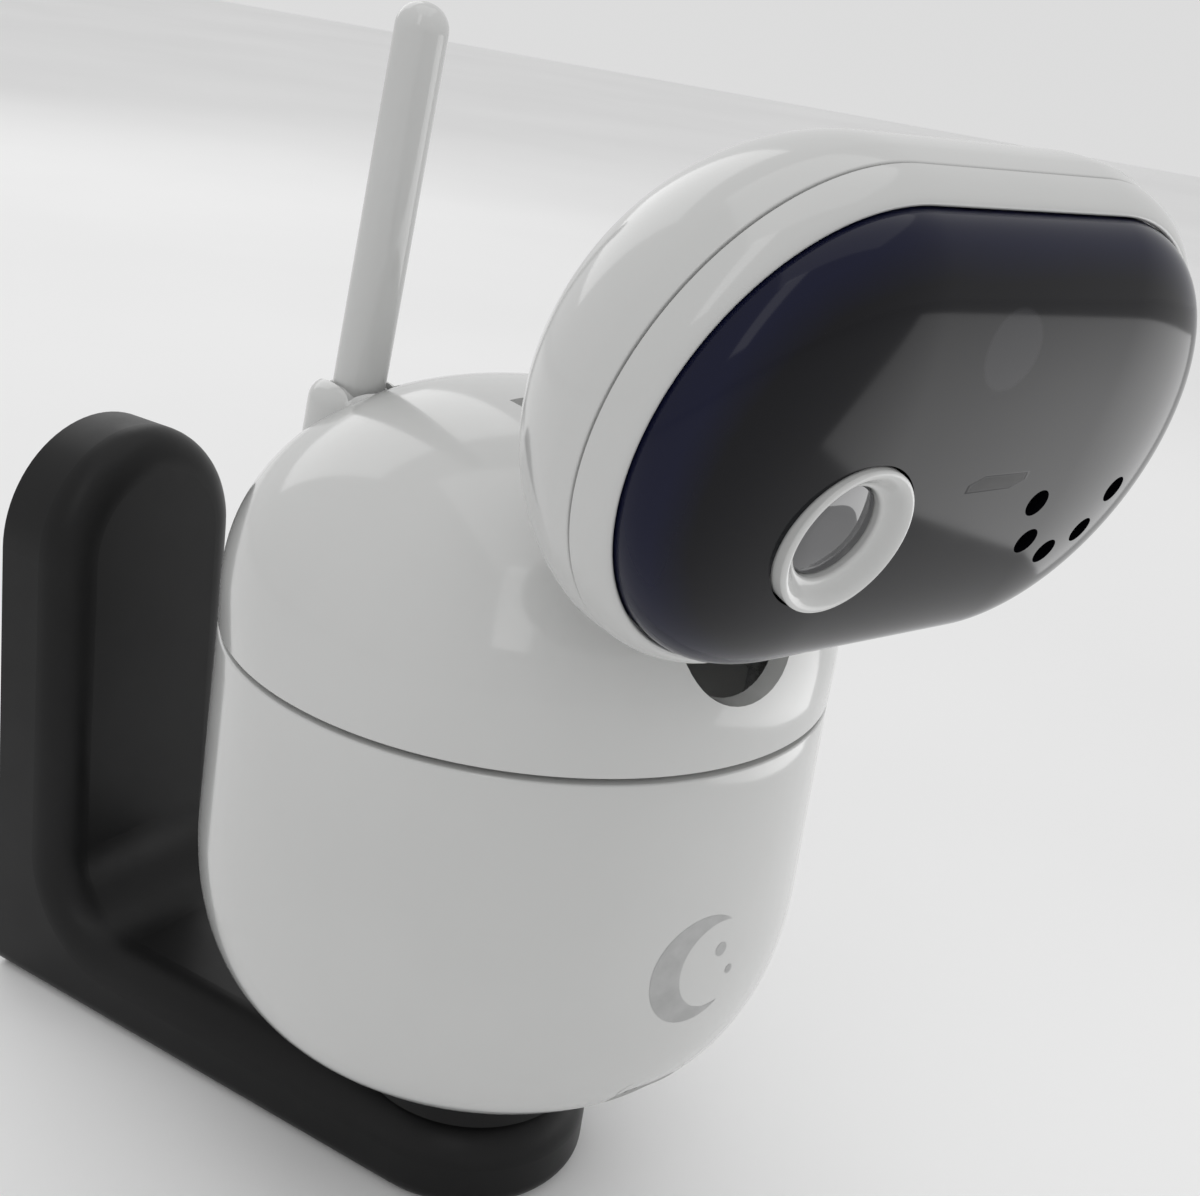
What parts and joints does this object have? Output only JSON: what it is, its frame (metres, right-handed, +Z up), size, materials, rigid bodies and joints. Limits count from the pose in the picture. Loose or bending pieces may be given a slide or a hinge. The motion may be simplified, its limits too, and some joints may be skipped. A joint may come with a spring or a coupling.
{
  "type": "baby monitor camera",
  "caption": "White pan-and-tilt baby monitor camera with a glossy black face panel, a folding antenna and a black wall bracket.",
  "frame": {"origin": "the wall plane, midway between the two wall screw holes", "axes": "+Z up, +Y out of the room into the wall, +X to the right for someone facing the wall"},
  "size_m": [0.0924, 0.1435, 0.1481],
  "materials": {
    "white_gloss": "glossy white ABS housings",
    "white_inner": "unpolished white inner plastics",
    "black_bracket": "satin black moulded bracket",
    "dark_inner": "dark grey moulded inner parts",
    "panel": "smoked black glossy face panel",
    "lens_glass": "coated lens glass",
    "sensor_dark": "dark smoked sensor window",
    "board": "green solder-masked circuit board",
    "gear": "natural acetal gears",
    "steel": "zinc-plated screws and motor cans",
    "brass": "brass thread insert",
    "rubber": "soft black rubber ring",
    "led": "clear infrared emitters",
    "grille": "grey perforated speaker grille"
  },
  "bodies": {
    "base": {"wall_bracket": "black_bracket", "wall_plate": "dark_inner", "clamp_screw": "steel", "foot_ring": "rubber", "base_housing": "white_gloss", "bottom_cover": "white_inner", "threaded_insert": "brass", "cover_screws": "steel", "base_deck": "white_inner", "deck_screws": "steel", "pan_bearing": "gear", "pan_motor": "steel", "main_board": "board", "board_posts": "dark_inner", "rear_board": "board", "power_socket": "steel", "speaker": "dark_inner", "speaker_grille": "grille"},
    "turret": {"turret_shell": "white_gloss", "turret_floor": "white_inner", "turret_screws": "steel", "pan_gear": "gear", "tilt_bearing_left": "dark_inner", "tilt_bearing_right": "dark_inner", "tilt_motor": "steel", "antenna_pin": "steel"},
    "pan_pinion_body": {"pan_pinion": "gear"},
    "tilt_pinion_body": {"tilt_pinion": "gear"},
    "head": {"head_arm": "white_inner", "tilt_gear": "gear", "head_shell": "white_gloss", "head_rear_cap": "white_gloss", "head_bezel": "white_gloss", "face_panel": "panel", "lens_ring": "white_gloss", "lens_window": "lens_glass", "camera_module": "dark_inner", "head_board": "board", "ir_leds": "led", "light_sensor": "sensor_dark", "microphone": "steel", "flange_screws": "steel"},
    "antenna": {"antenna_rod": "white_gloss"},
    "pairing_button": {"pair_button": "white_inner"}
  },
  "joints": [
    {"name": "pan", "type": "hinge", "parent": "base", "child": "turret", "pos_m": [0, -0.076, 0.023], "axis": [0, 0, 1], "range_deg": [-105, 105]},
    {"name": "tilt", "type": "hinge", "parent": "turret", "child": "head", "pos_m": [0, -0.076, 0.037], "axis": [-0.9397, 0.342, 0], "range_deg": [-18, 30]},
    {"name": "antenna_fold", "type": "hinge", "parent": "turret", "child": "antenna", "pos_m": [-0.0061, -0.05037, 0.0575], "axis": [-0.9397, 0.342, 0], "range_deg": [0, 43]},
    {"name": "pair_press", "type": "slide", "parent": "base", "child": "pairing_button", "axis": [-0.342, -0.9397, 0], "range_m": [0, 0.0008], "stiffness_N_per_m": 600, "springref_m": -0.0005},
    {"name": "pan_pinion_spin", "type": "hinge", "parent": "base", "child": "pan_pinion_body", "pos_m": [0.01955, -0.08311, 0.018], "axis": [0, 0, 1], "range_deg": [-360, 360]},
    {"name": "tilt_pinion_spin", "type": "hinge", "parent": "turret", "child": "tilt_pinion_body", "pos_m": [0.01705, -0.07008, 0.037], "axis": [-0.9397, 0.342, 0], "range_deg": [-70, 45]}
  ],
  "couplings": [
    {"joint": "pan_pinion_spin", "follows": "pan", "ratio": -3.3333},
    {"joint": "tilt_pinion_spin", "follows": "tilt", "ratio": -2.1667}
  ]
}
